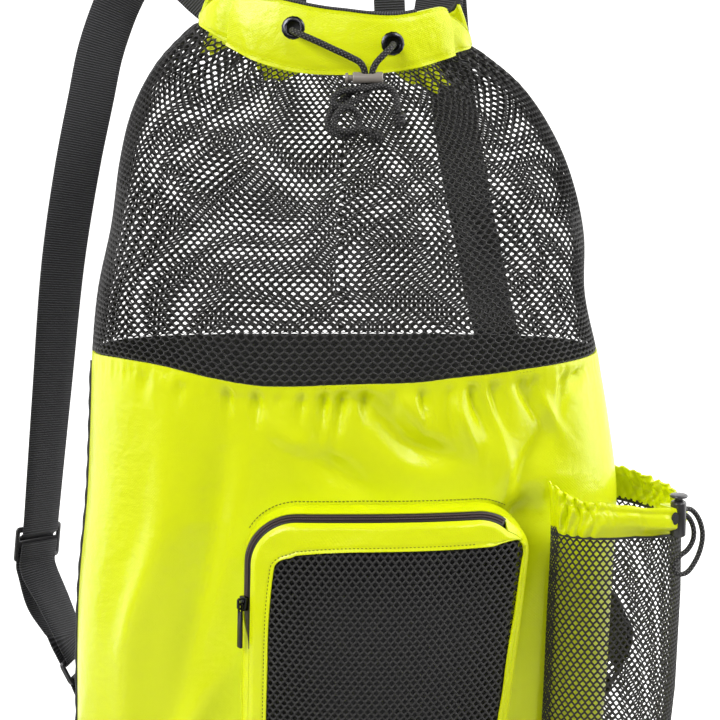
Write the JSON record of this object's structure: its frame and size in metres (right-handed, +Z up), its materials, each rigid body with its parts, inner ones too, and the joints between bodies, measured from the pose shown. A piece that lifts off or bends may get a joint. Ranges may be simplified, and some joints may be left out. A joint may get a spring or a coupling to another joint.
{
  "type": "mesh backpack",
  "caption": "Drawstring backpack with net walls over bright cloth, a gathered collar, a zipped front pocket, a net bottle pocket and webbing shoulder straps.",
  "frame": {"origin": "middle of the base's underside, where the bag stands", "axes": "+Z up, -Y out of the bag's front, +X to the right as seen from the front, towards the bottle pocket"},
  "size_m": [0.5646, 0.3025, 0.7139],
  "materials": {
    "bright_cloth": "coated polyester cloth with a soft sheen",
    "dark_net": "knitted polyester net",
    "dark_cloth": "plain woven polyester",
    "webbing": "ribbed polypropylene webbing",
    "cord": "braided polyester cord",
    "dark_plastic": "moulded acetal",
    "dark_metal": "black plated steel",
    "zip_tape": "coil zip tape"
  },
  "bodies": {
    "bag": {"mesh_front": "dark_net", "mesh_back": "dark_net", "lower_front": "bright_cloth", "back_panel": "dark_cloth", "base_panel": "dark_cloth", "side_piping_left": "dark_cloth", "side_piping_right": "dark_cloth", "collar": "bright_cloth", "mouth_binding": "dark_cloth", "eyelet_left": "dark_metal", "eyelet_right": "dark_metal", "drawcord_left": "cord", "drawcord_right": "cord", "drawcord_knot_left": "cord", "drawcord_knot_right": "cord", "cord_lock_body": "dark_plastic", "pocket_gusset": "bright_cloth", "pocket_face": "bright_cloth", "pocket_mesh": "dark_net", "pocket_zip": "zip_tape", "zip_slider": "dark_metal", "bottle_pocket_mesh": "dark_net", "bottle_pocket_hem": "bright_cloth", "bottle_pocket_cord": "cord", "bottle_lock_body": "dark_plastic", "shoulder_strap_left": "webbing", "shoulder_strap_right": "webbing", "strap_slider_left": "dark_plastic", "strap_slider_right": "dark_plastic", "strap_ring_left": "dark_plastic", "strap_ring_right": "dark_plastic", "strap_tab_left": "webbing", "strap_tab_right": "webbing", "grab_handle": "webbing"},
    "zip_tab": {"zip_pull": "dark_metal"},
    "cord_button": {"cord_lock_button": "dark_plastic"},
    "bottle_button": {"bottle_lock_button": "dark_plastic"}
  },
  "joints": [
    {"name": "zip_pull_swing", "type": "hinge", "parent": "bag", "child": "zip_tab", "pos_m": [-0.07358, -0.15273, 0.21846], "axis": [-0.588, 0.8087, -0.0132], "range_deg": [0, 150]},
    {"name": "cord_button_press", "type": "slide", "parent": "bag", "child": "cord_button", "axis": [1, 0, 0], "range_m": [0, 0.0026], "stiffness_N_per_m": 500, "springref_m": -0.002},
    {"name": "bottle_button_press", "type": "slide", "parent": "bag", "child": "bottle_button", "axis": [0, 0, -1], "range_m": [0, 0.0024], "stiffness_N_per_m": 500, "springref_m": -0.002}
  ]
}
